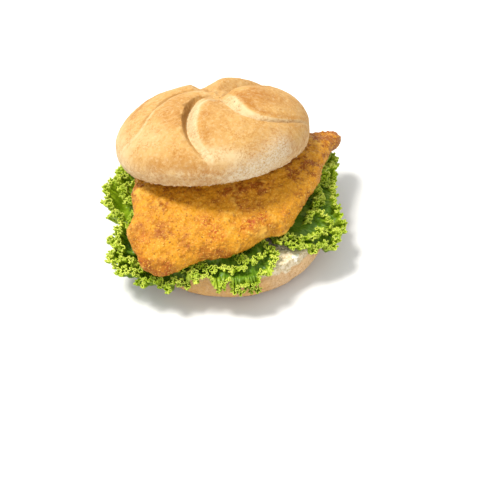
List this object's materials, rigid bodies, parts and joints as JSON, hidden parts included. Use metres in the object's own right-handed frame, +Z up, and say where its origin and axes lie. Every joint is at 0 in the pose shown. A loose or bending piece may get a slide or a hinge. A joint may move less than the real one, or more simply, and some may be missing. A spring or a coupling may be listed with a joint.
{
  "type": "schnitzel sandwich",
  "caption": "Kaiser roll filled with an arched breaded schnitzel that reaches past the roll and curly lettuce leaves; holds together when lifted and rests on its flat base.",
  "frame": {"origin": "middle of the roll's flat base, on the surface that the sandwich stands on", "axes": "+Z up out of the base, +X to the right along the schnitzel's length, +Y away from the open front"},
  "size_m": [0.139, 0.1346, 0.0842],
  "materials": {
    "crust": "matt golden wheat crust with a faint bloom of flour; the cut face is pale, porous crumb",
    "breading": "fried golden-orange breadcrumb coating, rough, with a thin shine of fat",
    "leaf": "fresh curly lettuce, satin, bright yellow-green at the frills and deeper green inside"
  },
  "bodies": {
    "root": {"bun_bottom": "crust", "bun_top": "crust", "schnitzel": "breading", "lettuce_left": "leaf", "lettuce_front_left": "leaf", "lettuce_front": "leaf", "lettuce_right": "leaf", "lettuce_right_back": "leaf", "lettuce_back": "leaf"}
  },
  "joints": []
}
